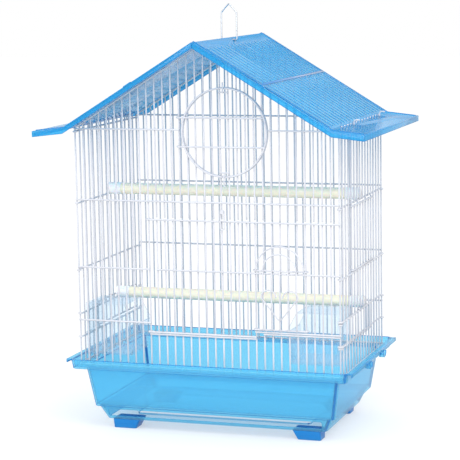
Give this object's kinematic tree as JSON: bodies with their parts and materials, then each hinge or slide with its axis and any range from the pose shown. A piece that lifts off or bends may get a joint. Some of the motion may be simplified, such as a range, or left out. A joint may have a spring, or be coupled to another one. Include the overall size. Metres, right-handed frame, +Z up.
{
  "type": "bird cage",
  "caption": "House-shaped wire bird cage with gabled plastic roof, hinged and lifting doors, perches, hooded cups, deep tray, stand and hanging loop.",
  "frame": {"origin": "floor level, under the middle of the cage", "axes": "+Z up, -Y the front with the large door, +X the viewer's right when facing the front"},
  "size_m": [0.418, 0.2836, 0.5305],
  "materials": {
    "wire": "white powder coat",
    "hanger_wire": "bright zinc",
    "roof_plastic": "translucent blue",
    "tray_plastic": "translucent blue",
    "foot_plastic": "translucent blue",
    "cup_plastic": "clear",
    "perch_plastic": "cream satin",
    "cap_plastic": "white satin"
  },
  "bodies": {
    "base": {"stand_feet": "foot_plastic", "stand_skirt": "tray_plastic", "tray": "tray_plastic"},
    "cage": {"front_uprights": "wire", "front_rails": "wire", "front_gable_wires": "wire", "hatch_seat_ring": "wire", "back_uprights": "wire", "back_rails": "wire", "back_gable_wires": "wire", "left_uprights": "wire", "left_rails": "wire", "right_uprights": "wire", "right_rails": "wire", "roof_left": "roof_plastic", "roof_right": "roof_plastic", "roof_hooks": "wire", "perch_upper_rod": "perch_plastic", "perch_upper_caps": "cap_plastic", "perch_lower_rod": "perch_plastic", "perch_lower_caps": "cap_plastic", "latch_stud": "wire"},
    "front_door": {"front_door_bars": "wire", "front_door_rails": "wire"},
    "lift_door": {"lift_door_rails": "wire", "lift_door_bars": "wire", "lift_door_arches": "wire", "lift_door_heart": "wire"},
    "hatch": {"hatch_ring": "wire", "hatch_bars": "wire", "hatch_tabs": "wire"},
    "nest_door": {"nest_door_rails": "wire", "nest_door_bars": "wire"},
    "left_cup_door": {"cup_door_left_rails": "wire", "cup_door_left_bars": "wire"},
    "right_cup_door": {"cup_door_right_rails": "wire", "cup_door_right_bars": "wire"},
    "left_cup": {"cup_left": "cup_plastic"},
    "right_cup": {"cup_right": "cup_plastic"},
    "latch": {"latch_link": "wire"},
    "hanging_loop": {"hanger": "hanger_wire"}
  },
  "joints": [
    {"name": "cage_lift", "type": "slide", "parent": "base", "child": "cage", "axis": [0, 0, 1], "range_m": [0, 0.04]},
    {"name": "front_door_hinge", "type": "hinge", "parent": "cage", "child": "front_door", "pos_m": [-0.0735, -0.1035, 0.2], "axis": [0, 0, 1], "range_deg": [-110, 0]},
    {"name": "lift_door_slide", "type": "slide", "parent": "front_door", "child": "lift_door", "axis": [0, 0, 1], "range_m": [0, 0.055]},
    {"name": "hatch_hinge", "type": "hinge", "parent": "cage", "child": "hatch", "pos_m": [-0.0315, -0.1035, 0.3786], "axis": [0, 0, 1], "range_deg": [-90, 0]},
    {"name": "nest_door_hinge", "type": "hinge", "parent": "cage", "child": "nest_door", "pos_m": [0.168, -0.0483, 0.247], "axis": [0, 0, 1], "range_deg": [-110, 0]},
    {"name": "left_cup_door_hinge", "type": "hinge", "parent": "cage", "child": "left_cup_door", "pos_m": [-0.168, -0.0483, 0.138], "axis": [0, 0, 1], "range_deg": [0, 110]},
    {"name": "right_cup_door_hinge", "type": "hinge", "parent": "cage", "child": "right_cup_door", "pos_m": [0.168, -0.1035, 0.138], "axis": [0, 0, 1], "range_deg": [-110, 0]},
    {"name": "left_cup_lift", "type": "slide", "parent": "cage", "child": "left_cup", "axis": [0, 0, 1], "range_m": [0, 0.025]},
    {"name": "right_cup_lift", "type": "slide", "parent": "cage", "child": "right_cup", "axis": [0, 0, 1], "range_m": [0, 0.025]},
    {"name": "latch_swing", "type": "hinge", "parent": "cage", "child": "latch", "pos_m": [0.02322, -0.1083, 0.2831], "axis": [0, 1, 0], "range_deg": [-100, 100]},
    {"name": "hanger_swing", "type": "hinge", "parent": "cage", "child": "hanging_loop", "pos_m": [0, 0, 0.4851], "axis": [1, 0, 0], "range_deg": [-70, 70]}
  ]
}
